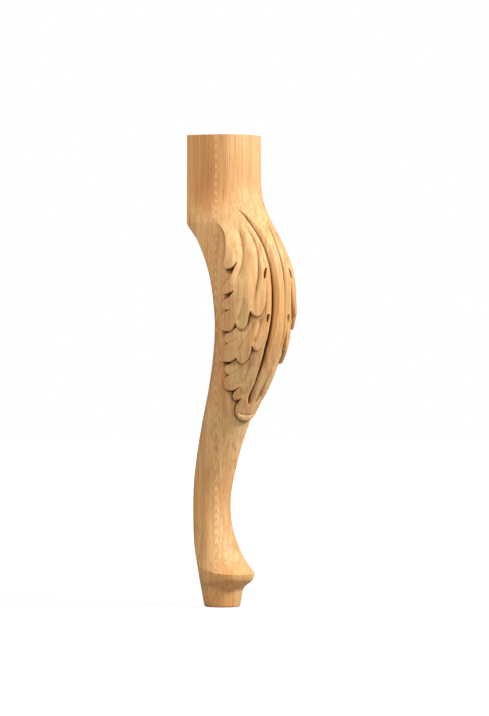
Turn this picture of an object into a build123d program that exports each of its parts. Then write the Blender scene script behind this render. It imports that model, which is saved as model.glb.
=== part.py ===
from build123d import *
import os
from math import cos, radians, sin

# A carved cabriole chair leg, sawn, shaped and carved from one piece of oak.
# The origin is the centre of the foot's sole and +Z is up. The knee and the toe point
# along the outward diagonal, +X with -Y. The upright plane through that diagonal is a
# mirror plane, so the inner faces look along -X and +Y, and the near half faces -Y.

# Heights above the floor
LEG_HEIGHT = 430.0
BLOCK_LENGTH = 80.3       # flat inner faces, where the seat rails butt against the leg
SHOULDER_HEIGHT = 400.0   # the outer faces are upright from here to the top
KNEE_HEIGHT = 285.0       # fullest point of the knee
HOLLOW_HEIGHT = 256.0     # the inner curve's most forward point
ANKLE_HEIGHT = 90.0
TOE_HEIGHT = 31.0
PAD_LENGTH = 14.8         # round pad under the foot

# Places along X, measured from the centre of the sole; the same go for -Y
BLOCK_INNER = -31.9
BLOCK_OUTER = 35.5
KNEE_OUTER = 62.0
HOLLOW_INNER = -6.6
ANKLE_INNER = -26.8
ANKLE_OUTER = 7.7
TOE_OUTER = 29.8
TOE_FULLNESS = 1.8        # how far the foot swells on above the toe's tip
PAD_RADIUS = 19.0         # at the top of the pad
SOLE_RADIUS = 16.3
SOLE_CHAMFER = 0.8
HEEL_SLOPE = 0.167        # outward lean of the pad's side and the heel

# Form of a cross-section, by angles about the leg's axis from the outward diagonal
ARRIS_ANGLE = 102.7       # corner between an outer and an inner face
FACE_ANGLE = 135.0        # middle of an inner face
CHEEK_ANGLE = 45.0        # where the round front ends and the flatter cheek begins
CHEEK_CURVE = 2.8

# Carving: heights of the relief over the ground, and the widths and depths of the cuts
RELIEF = 5.4              # general height of the leaf
RELIEF_TOP = 71.0         # height above the knee line where the leaf rises out of the wood
LEAF_LENGTH = 114.7       # from the knee line down to the leaf's tip
RIB_WIDTH = 8.0
RIB_TIP_WIDTH = 3.4
GROOVE_DEPTH = 2.9        # of the V cut along each side of the rib
GROOVE_LEFT = 3.2         # widths of its two sides
GROOVE_RIGHT = 3.4
CREASE_DEPTH = 1.7        # of the V cuts between the strands of a leaflet
RUN_OUT = 0.4             # a cut's ends stand this far off the surface
EYE_DEPTH = 4.2           # of the drilled eyes between leaflets
CARVING_BACK = 15.0       # no carving of the near half lies further back than this


def along(start, end, shape):
    """Points between two (height, x) places, by shares of the way in height and in x."""
    rise = end[0] - start[0]
    reach = end[1] - start[1]
    return [(start[0] + up * rise, start[1] + out * reach) for up, out in shape]


def curve(points):
    """A smooth function of height through (height, value) points."""
    points = sorted(points)
    heights = [p[0] for p in points]
    values = [p[1] for p in points]
    steps = [b - a for a, b in zip(heights, heights[1:])]
    rates = [(b - a) / step for a, b, step in zip(values, values[1:], steps)]
    slopes = [rates[0]]
    for i in range(1, len(rates)):
        before, after = steps[i - 1], steps[i]
        turns_back = rates[i - 1] * rates[i] <= 0
        slopes.append(0.0 if turns_back else (rates[i - 1] * after + rates[i] * before) / (before + after))
    slopes.append(rates[-1])

    def value(height):
        i = 0
        while i < len(steps) - 1 and height > heights[i + 1]:
            i += 1
        t = (height - heights[i]) / steps[i]
        t = min(max(t, 0.0), 1.0)
        start = values[i] * (1 + 2 * t) * (1 - t) ** 2 + slopes[i] * steps[i] * t * (1 - t) ** 2
        end = values[i + 1] * t * t * (3 - 2 * t) - slopes[i + 1] * steps[i] * t * t * (1 - t)
        return start + end

    return value


# The two sawn profiles of the leg, which both pairs of faces share
BLOCK_BASE = LEG_HEIGHT - BLOCK_LENGTH
ankle_back = (ANKLE_HEIGHT, ANKLE_INNER)
hollow = (HOLLOW_HEIGHT, HOLLOW_INNER)
ankle_front = (ANKLE_HEIGHT, ANKLE_OUTER)
knee = (KNEE_HEIGHT, KNEE_OUTER)
toe = (TOE_HEIGHT, TOE_OUTER)

inner_profile = curve(
    [(0.0, ANKLE_INNER + 0.4), (0.6 * ANKLE_HEIGHT, ANKLE_INNER + 0.4), ankle_back]
    + along(ankle_back, hollow, [(0.13, 0.03), (0.27, 0.15), (0.46, 0.41), (0.66, 0.72), (0.84, 0.93)])
    + [hollow]
    + along(hollow, (BLOCK_BASE, BLOCK_INNER), [(0.26, 0.06), (0.51, 0.21), (0.75, 0.49), (0.87, 0.69), (1, 1)])
)
outer_profile = curve(
    [(0.0, TOE_OUTER + TOE_HEIGHT)]
    + along(ankle_front, toe, [(1, 1), (0.75, 0.52), (0.56, 0.3), (0.37, 0.13), (0.19, 0.035), (0, 0)])
    + along(ankle_front, knee, [(0.06, 0.01), (0.17, 0.08), (0.28, 0.18), (0.39, 0.31), (0.48, 0.43),
                                (0.56, 0.555), (0.65, 0.705), (0.73, 0.83), (0.82, 0.93), (0.91, 0.985)])
    + [knee]
    + along(knee, (SHOULDER_HEIGHT, BLOCK_OUTER), [(0.165, 0.075), (0.3, 0.22), (0.45, 0.44), (0.6, 0.67),
                                                   (0.7, 0.85), (0.79, 0.955), (0.9, 0.995), (1, 1)])
    + [(LEG_HEIGHT, BLOCK_OUTER)]
)
squareness = curve([(0.0, 0.0), (ANKLE_HEIGHT, 0.0), (0.5 * (ANKLE_HEIGHT + HOLLOW_HEIGHT), 0.35),
                    (HOLLOW_HEIGHT, 0.65), (BLOCK_BASE, 1.0), (LEG_HEIGHT, 1.0)])
front_ridge = curve([(0.0, 0.0), (ANKLE_HEIGHT, 0.0), (0.5 * (ANKLE_HEIGHT + KNEE_HEIGHT), 0.09),
                     (KNEE_HEIGHT, 0.0), (BLOCK_BASE - 15, 0.09), (BLOCK_BASE, 0.1),
                     (BLOCK_BASE + 35, 0.0), (LEG_HEIGHT, 0.0)])


def stretch(angle):
    """How far a squared section stands out beyond a round one, as a share of its radius."""
    angle = abs(angle)
    if angle > ARRIS_ANGLE:
        return 1 / cos(radians(angle - FACE_ANGLE)) - 1
    if angle > CHEEK_ANGLE:
        share = (angle - CHEEK_ANGLE) / (ARRIS_ANGLE - CHEEK_ANGLE)
        return share ** CHEEK_CURVE * (1 / cos(radians(ARRIS_ANGLE - FACE_ANGLE)) - 1)
    return 0.0


def skin_point(angle, height, lift=0.0):
    """A point of the leg's surface, raised by lift; positive angles are on the near half."""
    centre = (inner_profile(height) + outer_profile(height)) / 2
    radius = (outer_profile(height) - inner_profile(height)) / 2
    ratio = 1 + squareness(height) * stretch(angle)
    if abs(angle) < CHEEK_ANGLE:
        ratio += front_ridge(height) * cos(radians(2 * angle)) ** 2
    if abs(angle) > ARRIS_ANGLE:
        lift *= (180 - abs(angle)) / (180 - ARRIS_ANGLE)
    reach = radius * ratio + lift
    turn = radians(-45 - angle)
    return Vector(centre + reach * cos(turn), -centre + reach * sin(turn), height)


OUTER_ANGLES = [-ARRIS_ANGLE, -90, -72, -48, -24, 0, 24, 48, 72, 90, ARRIS_ANGLE]
INNER_ANGLES = [ARRIS_ANGLE, 116, 135, 154, 180]


def skin_edge(angles, height, lift=0.0):
    """A smooth edge round the leg's surface at one height."""
    return Edge.make_spline([skin_point(a, height, lift) for a in angles], parameters=angles)


def section(height, lift=0.0):
    """The closed outline of the leg at one height: an outer sweep and two inner faces."""
    far_angles = [-a for a in reversed(INNER_ANGLES)]
    return Wire([skin_edge(angles, height, lift) for angles in (OUTER_ANGLES, INNER_ANGLES, far_angles)])


def shaft():
    """The shaped leg before carving, from the flare at the foot to the base of the block."""
    heights = [0.0, 0.35 * TOE_HEIGHT, 0.7 * TOE_HEIGHT, TOE_HEIGHT]
    heights += [TOE_HEIGHT + share * (ANKLE_HEIGHT - TOE_HEIGHT) for share in (0.25, 0.44, 0.63, 0.81)]
    heights += [ANKLE_HEIGHT + share * (KNEE_HEIGHT - ANKLE_HEIGHT)
                for share in (0, 0.1, 0.2, 0.3, 0.4, 0.5, 0.6, 0.7, 0.8, 0.9, 1)]
    heights += [KNEE_HEIGHT + share * (BLOCK_BASE - KNEE_HEIGHT) for share in (0.25, 0.5, 0.75, 1)]
    return Solid.make_loft([section(height) for height in heights])


def block():
    """The block at the top: a smooth outer sweep closed by two flat inner faces for the rails."""
    heights = [BLOCK_BASE + share * BLOCK_LENGTH for share in (0, 0.14, 0.28, 0.42, 0.6, 1)]
    sweep = Shell.make_loft([Wire([skin_edge(OUTER_ANGLES, height)]) for height in heights])
    low_curve, *arrises, top_curve = sweep.edges().sort_by(Axis.Z)
    low_corner = Vector(BLOCK_INNER, -BLOCK_INNER, BLOCK_BASE)
    top_corner = Vector(BLOCK_INNER, -BLOCK_INNER, LEG_HEIGHT)
    back = Line(low_corner, top_corner).edge()
    low_sides = []
    top_sides = []
    faces = list(sweep.faces())
    for arris in arrises:
        low, top = sorted(arris.vertices(), key=lambda vertex: vertex.Z)
        low_sides.append(Line(Vector(low), low_corner).edge())
        top_sides.append(Line(Vector(top), top_corner).edge())
        faces.append(Face(Wire([arris, top_sides[-1], back, low_sides[-1]])))
    faces.append(Face(Wire([low_curve] + low_sides)))
    faces.append(Face(Wire([top_curve] + top_sides)))
    return Solid(Shell(faces))


def foot_cup():
    """The pad, the swelling under the toe and the straight heel, which end the flare."""
    toe_rise = TOE_HEIGHT - PAD_LENGTH
    front = curve([(PAD_LENGTH, PAD_RADIUS), (PAD_LENGTH + 0.2 * toe_rise, PAD_RADIUS + 1.6),
                   (PAD_LENGTH + 0.57 * toe_rise, TOE_OUTER - 2.3), (TOE_HEIGHT, TOE_OUTER),
                   (TOE_HEIGHT + 10, TOE_OUTER + TOE_FULLNESS), (ANKLE_HEIGHT, TOE_OUTER + TOE_FULLNESS)])

    def ring(height):
        back = -(PAD_RADIUS + HEEL_SLOPE * (height - PAD_LENGTH))
        centre = (front(height) + back) / 2
        radius = (front(height) - back) / 2
        return (Plane(origin=(centre, -centre, height), x_dir=(1, -1, 0)) * Circle(radius)).wire()

    ring_shares = (0, 0.2, 0.4, 0.6, 0.8, 1, 1.3, 1.7, 2.2, 2.7, 3.2)
    swelling = Solid.make_loft([ring(PAD_LENGTH + share * toe_rise) for share in ring_shares])
    pad = Cone(SOLE_RADIUS, PAD_RADIUS, PAD_LENGTH, align=(Align.CENTER, Align.CENTER, Align.MIN))
    pad = chamfer(pad.edges().sort_by(Axis.Z)[0], SOLE_CHAMFER)
    return swelling + pad


def shaped_leg():
    """The whole leg with its foot, before carving."""
    split = TOE_HEIGHT + 0.6 * (ANKLE_HEIGHT - TOE_HEIGHT)
    size = 4 * KNEE_OUTER
    below = Pos(0, 0, split - size / 2) * Box(size, size, size)
    whole = shaft() + block()
    return (whole - below) + (whole & below & foot_cup())


# The half leaf as it is drawn on the front face. Each point is (x, height above the knee line),
# each row is one curved stroke that starts where the last ended, and the rows meet at the notches.
# The right-hand side of each leaflet runs down the middle of the groove beside the rib.
UPPER_LEAFLET = (
    [(24.0, 86.0), (6.0, 84.0), (-9.0, 68.0)],
    [(-9.0, 68.0), (-3.5, 62.5), (0.8, 56.0), (2.6, 45.0), (2.0, 34.0), (0.6, 27.0), (2.5, 22.6),
     (7.0, 22.4), (10.0, 24.6), (12.5, 28.5)],
    [(12.5, 28.5), (11.3, 22.5), (6.0, 13.0), (-0.3, 4.5), (1.5, 0.2), (5.5, 0.3), (10.0, 2.5)],
    [(10.0, 2.5), (4.8, -3.5), (0.2, -9.5), (1.6, -14.0), (6.6, -13.6)],
    [(6.6, -13.6), (3.6, -16.4), (-0.6, -20.5), (-3.4, -28.5), (-0.5, -33.3), (5.0, -33.8),
     (9.5, -31.0), (12.0, -26.5)],
    [(12.0, -26.5), (15.5, -31.5), (20.5, -30.5), (24.0, -21.5), (25.5, -16.0)],
    [(25.5, -16.0), (28.5, -20.2), (34.0, -19.8), (38.0, -13.0), (40.3, 0.0), (39.5, 17.0)],
    [(39.5, 17.0), (46.5, 21.0)],
    [(46.5, 21.0), (43.0, 36.0), (39.0, 46.0), (33.0, 56.0), (27.0, 64.0), (24.0, 86.0)],
)
MIDDLE_LEAFLET = (
    [(39.0, 18.0), (9.0, -28.0)],
    [(9.0, -28.0), (3.0, -36.5), (1.4, -41.0), (5.2, -44.8)],
    [(5.2, -44.8), (0.3, -48.5), (-2.2, -58.5), (1.5, -61.2), (7.0, -60.6), (13.0, -57.5)],
    [(13.0, -57.5), (14.5, -62.0), (19.5, -62.5), (24.5, -57.0), (27.0, -47.5)],
    [(27.0, -47.5), (27.8, -49.6), (29.5, -51.0), (33.0, -50.8), (36.5, -47.0), (40.0, -38.0), (41.3, -27.0)],
    [(41.3, -27.0), (47.5, -25.0)],
    [(47.5, -25.0), (49.0, -8.0), (48.3, 6.0), (46.3, 22.0)],
    [(46.3, 22.0), (39.0, 18.0)],
)
LOWER_LEAFLET = (
    [(41.0, -26.0), (12.0, -56.0)],
    [(12.0, -56.0), (5.0, -63.0), (2.0, -67.8), (6.0, -73.6)],
    [(6.0, -73.6), (2.0, -76.0), (1.2, -81.5), (3.5, -86.0), (8.5, -86.6), (15.5, -84.5)],
    [(15.5, -84.5), (13.4, -87.4), (10.3, -90.2), (9.3, -93.5), (11.5, -96.0), (17.0, -94.5)],
    [(17.0, -94.5), (15.4, -98.5), (13.2, -103.0), (12.8, -108.5), (16.5, -113.5), (22.0, -LEAF_LENGTH)],
    [(22.0, -LEAF_LENGTH), (40.0, -LEAF_LENGTH)],
    [(40.0, -LEAF_LENGTH), (40.0, -99.0)],
    [(40.0, -99.0), (27.5, -91.0)],
    [(27.5, -91.0), (32.5, -77.0), (38.5, -62.0), (43.5, -43.0), (47.0, -24.5)],
    [(47.0, -24.5), (41.0, -26.0)],
)

# Height of each leaflet over the ground, by height above the knee line: each rises towards its tip
upper_lift = curve([(RELIEF_TOP + 16, -2.5), (RELIEF_TOP, 0.0), (50, 0.63 * RELIEF), (32, 0.89 * RELIEF),
                    (5, RELIEF), (-23, RELIEF + 0.9), (-60, RELIEF + 0.9)])
middle_lift = curve([(30, 0.62 * RELIEF), (-23, 0.56 * RELIEF), (-41, 0.9 * RELIEF), (-60, RELIEF + 0.7),
                     (-80, RELIEF + 0.7)])
lower_lift = curve([(-10, 0.52 * RELIEF), (-63, 0.58 * RELIEF), (-80, 0.8 * RELIEF), (-100, 0.62 * RELIEF),
                    (-LEAF_LENGTH - 10, 0.55 * RELIEF)])
rib_lift = curve([(RELIEF_TOP + 16, -2.5), (RELIEF_TOP, 0.0), (45, 0.75 * RELIEF), (5, 0.98 * RELIEF),
                  (-55, 0.9 * RELIEF), (-LEAF_LENGTH, 0.6 * RELIEF)])

# Cuts, as (x, height above the knee line) along the bottom of each
RIB_GROOVE = [(13.0, 78.5), (27.0, 64.0), (39.0, 46.0), (47.0, 18.5), (48.6, -16.0), (42.5, -47.0),
              (32.5, -77.0), (25.0, -100.5)]
# Each crease has its path and the widths of its left and its right side
UPPER_CREASES = (
    ([(12.0, 62.0), (17.2, 50.0), (18.8, 36.0), (15.5, 19.0), (9.0, 7.0)], 8.0, 6.0),
    ([(22.0, 60.0), (30.0, 46.5), (33.3, 29.0), (32.2, 9.0), (27.0, -8.5)], 6.5, 2.6),
)
MIDDLE_CREASES = (
    ([(30.0, -22.0), (26.0, -33.0), (19.5, -43.0), (13.5, -55.0)], 5.5, 4.0),
)
LOWER_CREASES = (
    ([(26.0, -60.0), (22.5, -71.0), (16.5, -83.0)], 4.5, 4.0),
)
UPPER_EYE = [(38.6, 23.4), (40.6, 23.0), (40.4, 17.0), (39.0, 13.4), (37.7, 17.5)]
MIDDLE_EYE = [(41.0, -18.0), (43.2, -18.2), (42.6, -22.5), (41.0, -25.8), (40.1, -21.5)]


def near_angle(x, height, lift):
    """The angle at which the near half of the raised skin stands at x."""
    low, high = 0.0, 135.0
    while high - low > 0.01:
        middle = (low + high) / 2
        if skin_point(middle, height, lift).X > x:
            low = middle
        else:
            high = middle
    return low


def skin_and_normal(x, above_knee, lift):
    """A point of the near half of the raised skin, with its outward direction."""
    height = KNEE_HEIGHT + above_knee
    level = lift(above_knee)
    angle = near_angle(x, height, level)
    here = skin_point(angle, height, level)
    across = skin_point(angle + 1, height, level) - skin_point(angle - 1, height, level)
    up = skin_point(angle, height + 1, level) - skin_point(angle, height - 1, level)
    return here, up.cross(across).normalized()


def raised_skin(lift, highest, lowest):
    """The leg's own form grown by a leaflet's lift, between two heights above the knee line."""
    count = max(4, round((highest - lowest) / 14))
    levels = [lowest + (highest - lowest) * i / count for i in range(count + 1)]
    return Solid.make_loft([section(KNEE_HEIGHT + level, lift(level)) for level in levels])


def near_half(strokes):
    """The prism that stands over a drawn outline, through the front of the leg."""
    edges = []
    for stroke in strokes:
        points = [(x, KNEE_HEIGHT + above) for x, above in stroke]
        edges.append(Line(*points) if len(points) == 2 else Spline(*points))
    drawn = make_face(Wire([edge.edge() for edge in edges]))
    return extrude(Pos(0, -CARVING_BACK, 0) * Plane.XZ * drawn, amount=3 * KNEE_OUTER)


def leaflet(strokes, lift):
    """The near half of one tier of the leaf: its outline cut out of the raised skin."""
    heights = [above for stroke in strokes for x, above in stroke]
    size = 4 * LEG_HEIGHT
    near_side = Rot(0, 0, -45) * (Pos(0, -size / 2, 0) * Box(size, size, size))
    return near_half(strokes) & raised_skin(lift, max(heights) + 2, min(heights) - 2) & near_side


def gouge(path, depth, left, right, lift):
    """A V cut along a path on the near half, with the widths of its two sides, running out at both ends."""
    rings = []
    for i, (x, above) in enumerate(path):
        here, outward = skin_and_normal(x, above, lift)
        before, _ = skin_and_normal(*path[max(i - 1, 0)], lift)
        after, _ = skin_and_normal(*path[min(i + 1, len(path) - 1)], lift)
        along_path = (after - before).normalized()
        side = outward.cross(along_path)
        at_end = i in (0, len(path) - 1)
        bottom = here - outward * (-RUN_OUT if at_end else depth)
        rise = outward * (depth + RUN_OUT)
        share = (depth + RUN_OUT) / depth
        rings.append(Wire.make_polygon([bottom, bottom + rise - side * left * share,
                                        bottom + rise + side * right * share], close=True))
    return Solid.make_loft(rings)


def eye(outline, lift):
    """A drilled eye between two leaflets: a short prism sunk to a depth below the leaf."""
    drawn = make_face(Polyline(*[(x, KNEE_HEIGHT + above) for x, above in outline], close=True))
    x, above = outline[0]
    here, _ = skin_and_normal(x, above, lift)
    return extrude(Pos(0, here.Y + EYE_DEPTH, 0) * Plane.XZ * drawn, amount=3 * EYE_DEPTH)


def rib():
    """The raised rib down the leg's front edge, tapering to the leaf's tip."""
    top = KNEE_HEIGHT + RELIEF_TOP + 16
    tip = KNEE_HEIGHT - LEAF_LENGTH + 14
    bar = Plane.XZ * make_face(Polyline(
        (-2 * RIB_WIDTH, top), (2 * RIB_WIDTH, top), (RIB_WIDTH / 2, KNEE_HEIGHT + 20),
        (RIB_TIP_WIDTH / 2, tip), (-RIB_TIP_WIDTH / 2, tip), (-RIB_WIDTH / 2, KNEE_HEIGHT + 20), close=True))
    slab = Rot(0, 0, 45) * extrude(bar, amount=3 * KNEE_OUTER)
    return slab & raised_skin(rib_lift, RELIEF_TOP + 18, -LEAF_LENGTH - 2)


MIRROR_PLANE = Plane(origin=(0, 0, 0), z_dir=(1, 1, 0))


def cuts():
    """The grooves beside the rib, the creases of the leaflets and the two drilled eyes."""
    cutters = [gouge(RIB_GROOVE, GROOVE_DEPTH, GROOVE_LEFT, GROOVE_RIGHT, rib_lift),
               eye(UPPER_EYE, upper_lift), eye(MIDDLE_EYE, middle_lift)]
    for creases, lift in ((UPPER_CREASES, upper_lift), (MIDDLE_CREASES, middle_lift),
                          (LOWER_CREASES, lower_lift)):
        for path, left, right in creases:
            cutters.append(gouge(path, CREASE_DEPTH, left, right, lift))
    return cutters


def carved_leg():
    """The shaped leg with its rib, its three tiers of leaflets on each half and their cuts."""
    tiers = [leaflet(LOWER_LEAFLET, lower_lift), leaflet(MIDDLE_LEAFLET, middle_lift),
             leaflet(UPPER_LEAFLET, upper_lift)]
    whole = shaped_leg() + rib()
    for tier in tiers:
        whole = whole + tier + mirror(tier, about=MIRROR_PLANE)
    for cutter in cuts():
        whole = whole - cutter - mirror(cutter, about=MIRROR_PLANE)
    return whole


leg = carved_leg()
leg.label = "leg"
os.makedirs("parts", exist_ok=True)
export_step(leg, "parts/leg.step")
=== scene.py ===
"""The looks of a carved cabriole chair leg in oak: its full carving, its wood and a plain studio."""

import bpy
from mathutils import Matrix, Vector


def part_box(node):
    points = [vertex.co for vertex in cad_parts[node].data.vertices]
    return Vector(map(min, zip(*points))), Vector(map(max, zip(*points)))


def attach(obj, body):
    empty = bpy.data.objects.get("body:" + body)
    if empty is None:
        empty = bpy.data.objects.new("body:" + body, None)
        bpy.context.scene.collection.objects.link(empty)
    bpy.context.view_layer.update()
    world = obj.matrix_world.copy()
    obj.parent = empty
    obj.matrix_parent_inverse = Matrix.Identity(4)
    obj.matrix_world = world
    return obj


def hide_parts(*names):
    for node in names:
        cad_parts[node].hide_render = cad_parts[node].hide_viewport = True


bl_info = {
    "name": "Carved Chair Leg",
    "version": (1, 0, 0),
    "blender": (4, 5, 0),
    "location": "3D View > Sidebar > Chair Leg",
    "description": "Builds the carved oak chair leg with its leaf, its wood finish and a plain studio",
    "category": "Add Mesh",
}

import math

import bmesh
import bpy
import numpy as np
from bpy.props import FloatProperty, FloatVectorProperty, PointerProperty
from mathutils import Vector
from mathutils.geometry import delaunay_2d_cdt
from mathutils.kdtree import KDTree

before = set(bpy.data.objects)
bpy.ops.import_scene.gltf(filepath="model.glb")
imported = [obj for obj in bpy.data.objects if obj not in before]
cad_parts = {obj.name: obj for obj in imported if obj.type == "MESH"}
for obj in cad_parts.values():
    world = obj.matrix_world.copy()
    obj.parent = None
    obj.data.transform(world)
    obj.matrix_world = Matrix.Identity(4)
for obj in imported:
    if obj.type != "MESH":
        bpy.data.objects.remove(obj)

# Measures of the leg, in mm and degrees
MM = 0.001
LOW_CORNER, HIGH_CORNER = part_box("leg")
LEG_HEIGHT = (HIGH_CORNER.z - LOW_CORNER.z) / MM
BLOCK_INNER = LOW_CORNER.x / MM
KNEE_HEIGHT = 285.0
BLOCK_BASE = 349.7
SHOULDER_HEIGHT = 400.0
SHOULDER_OUTER = 35.5
PAD_LENGTH = 14.8
PAD_RADIUS = 19.0
SOLE_RADIUS = 16.3
SOLE_CHAMFER = 0.8
TOE_HEIGHT = 31.0
TOE_OUTER = 29.8
ANKLE_HEIGHT = 90.0
HEEL_SLOPE = 0.167
CREASE_ROUNDING = 0.25    # where the shaft runs into the top of the foot
AXIS_BLEND = 32.0         # the axis moves over to the foot's middle within this height below the ankle
ARRIS_ANGLE = 102.7       # corner between an outer and an inner face, from the outward diagonal
FACE_ANGLE = 135.0        # middle of an inner face
CHEEK_ANGLE = 45.0        # where the round front ends and the flatter cheek begins
CHEEK_CURVE = 2.8


class Curve:
    """A smooth function of one number through given (place, value) points."""

    def __init__(self, *points):
        points = sorted(points)
        self.places = np.array([p[0] for p in points], float)
        self.values = np.array([p[1] for p in points], float)
        self.steps = np.diff(self.places)
        rates = np.diff(self.values) / self.steps
        inner = (rates[:-1] * self.steps[1:] + rates[1:] * self.steps[:-1])
        inner = inner / (self.steps[1:] + self.steps[:-1])
        inner = np.where(rates[:-1] * rates[1:] <= 0, 0.0, inner)
        self.slopes = np.concatenate([rates[:1], inner, rates[-1:]])

    def __call__(self, place):
        place = np.asarray(place, float)
        i = np.clip(np.searchsorted(self.places, place) - 1, 0, len(self.steps) - 1)
        t = np.clip((place - self.places[i]) / self.steps[i], 0.0, 1.0)
        step = self.steps[i]
        start = self.values[i] * (1 + 2 * t) * (1 - t) ** 2 + self.slopes[i] * step * t * (1 - t) ** 2
        end = self.values[i + 1] * t * t * (3 - 2 * t) - self.slopes[i + 1] * step * t * t * (1 - t)
        return start + end


# The sawn profiles, as (height, X) of the inner and the outer side
inner_profile = Curve((0, -26.4), (54, -26.4), (90, -26.8), (112, -26.2), (134, -23.9), (167, -18.5),
                      (200, -12.2), (230, -8.1), (256, -6.6), (280, -8.1), (304, -11.9), (326, -19.0),
                      (337.5, -24.1), (BLOCK_BASE, BLOCK_INNER))
outer_profile = Curve((0, 60), (20, 41.3), (31, 29.8), (46, 19.2), (57, 14.3), (68, 10.6), (79, 8.5),
                      (90, 7.7), (101, 8.2), (123, 12.0), (145, 17.5), (167, 24.5), (184, 31.0), (199, 37.8),
                      (217, 46.0), (233, 52.8), (250, 58.2), (267, 61.2), (KNEE_HEIGHT, 62), (304, 60.0),
                      (319.5, 56.2), (337, 50.3), (354, 44.2), (365, 39.5), (376, 36.7), (388, 35.6),
                      (SHOULDER_HEIGHT, SHOULDER_OUTER), (LEG_HEIGHT, SHOULDER_OUTER))
# How far the section has turned from round to square, and how far its front stands up in a soft ridge
squareness = Curve((0, 0), (ANKLE_HEIGHT, 0), (173, 0.35), (256, 0.65), (BLOCK_BASE, 1), (LEG_HEIGHT, 1))
front_ridge = Curve((0, 0), (ANKLE_HEIGHT, 0), (187.5, 0.09), (KNEE_HEIGHT, 0), (334.7, 0.09),
                    (BLOCK_BASE, 0.1), (384.7, 0), (LEG_HEIGHT, 0))
# X of the front of the pad and of the foot, by height
pad_front = Curve((0, SOLE_RADIUS), (PAD_LENGTH - 0.01, PAD_RADIUS))
foot_front = Curve((PAD_LENGTH, PAD_RADIUS), (18.0, 20.6), (24.0, 27.5), (TOE_HEIGHT, TOE_OUTER),
                   (41.0, 31.6), (ANKLE_HEIGHT, 31.6))

# The half leaf as it is drawn on the front face: (x, height above the knee), tier by tier from the top.
# Each row is one stroke between two notches. The last row of a tier runs under its neighbours.
UPPER_EDGE = (
    [(-9.0, 68.0), (-3.5, 62.5), (0.8, 56.0), (2.2, 49.5), (2.7, 42.0), (2.0, 34.0), (0.8, 27.8), (1.2, 24.3),
     (3.2, 22.3), (7.0, 22.7), (9.9, 24.6), (12.9, 28.2)],
    [(12.9, 28.2), (10.5, 23.0), (8.0, 17.5), (5.3, 12.9), (2.1, 8.3), (-0.4, 3.0), (0.7, 0.5), (3.5, -0.2),
     (8.1, 1.4), (10.1, 2.4)],
    [(10.1, 2.4), (6.2, -2.6), (0.7, -7.2), (-0.2, -11.8), (3.5, -14.5), (5.9, -14.3)],
    [(5.9, -14.3), (0.0, -18.9), (-2.9, -27.1), (-3.1, -31.7), (3.5, -33.8), (8.1, -32.7), (12.1, -26.8)],
    [(12.1, -26.8), (12.7, -29.3), (16.3, -32.0), (20.0, -31.1), (22.7, -26.5), (24.5, -19.1), (25.6, -16.2)],
    [(25.6, -16.2), (27.6, -19.0), (30.5, -20.6), (33.3, -20.2), (36.2, -18.2), (38.2, -13.7), (39.6, -7.5),
     (40.3, -0.3), (40.6, 11.0), (40.2, 15.6), (40.2, 23.0)],
)
UPPER_INSIDE = [(40.2, 23.0), (62.0, 24.0), (62.0, 44.0), (54.0, 60.0), (46.0, 72.0), (36.0, 88.0),
                (-6.0, 84.0), (-9.0, 68.0)]
MIDDLE_EDGE = (
    [(16.0, -28.0), (5.1, -34.8), (2.3, -38.1), (1.6, -40.5), (2.3, -43.0), (4.9, -44.8)],
    [(4.9, -44.8), (0.8, -47.0), (-0.8, -50.0), (-1.6, -54.0), (-2.3, -58.0), (-1.4, -60.6), (1.8, -61.1),
     (5.5, -61.1), (9.0, -60.2), (12.8, -57.8)],
    [(12.8, -57.8), (13.6, -60.3), (16.4, -62.8), (19.2, -62.8), (22.0, -60.9), (24.4, -57.4), (26.2, -53.0),
     (27.2, -47.5)],
    [(27.2, -47.5), (28.2, -49.7), (30.0, -51.0), (32.4, -51.2), (34.8, -49.5), (37.2, -45.5), (39.2, -40.5),
     (40.6, -34.0), (41.2, -27.0), (41.3, -20.0)],
)
MIDDLE_INSIDE = [(41.3, -20.0), (62.0, -20.0), (62.0, 25.0), (40.6, 25.0), (36.0, 0.0), (20.0, -20.0),
                 (16.0, -28.0)]
LOWER_EDGE = (
    [(18.0, -55.0), (7.1, -62.4), (3.4, -64.2), (1.9, -67.8), (3.5, -71.2), (6.1, -73.4)],
    [(6.1, -73.4), (2.8, -75.6), (1.5, -79.0), (1.8, -83.5), (4.0, -86.5), (8.0, -87.2), (12.0, -86.4),
     (15.6, -84.3)],
    [(15.6, -84.3), (12.0, -87.2), (9.6, -91.0), (9.9, -94.3), (12.2, -96.0), (16.9, -94.9)],
    [(16.9, -94.9), (14.5, -98.2), (12.8, -102.0), (12.6, -107.0), (14.6, -111.8), (18.8, -114.4),
     (24.0, -114.7), (31.5, -113.2), (44.0, -113.2)],
)
LOWER_INSIDE = [(44.0, -113.2), (62.0, -60.0), (62.0, -15.0), (41.6, -15.0), (30.0, -40.0), (18.0, -55.0)]

# Height of each tier over the ground, by height above the knee: each rises towards its tips
RELIEF_TOP = 71.0
upper_lift = Curve((87, 0), (RELIEF_TOP, 0), (50, 3.4), (32, 4.8), (5, 5.4), (-23, 6.2), (-60, 6.2))
middle_lift = Curve((40, 5.0), (23, 5.0), (8, 4.0), (-10, 3.2), (-25, 3.1), (-41, 4.9), (-60, 6.0),
                    (-80, 6.0))
lower_lift = Curve((-10, 3.2), (-25, 3.0), (-63, 3.1), (-80, 4.3), (-100, 3.3), (-125, 3.0))
rib_lift = Curve((87, 0), (RELIEF_TOP, 0), (45, 4.1), (5, 5.3), (-55, 4.9), (-100, 3.4), (-125, 3.0))

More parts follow.
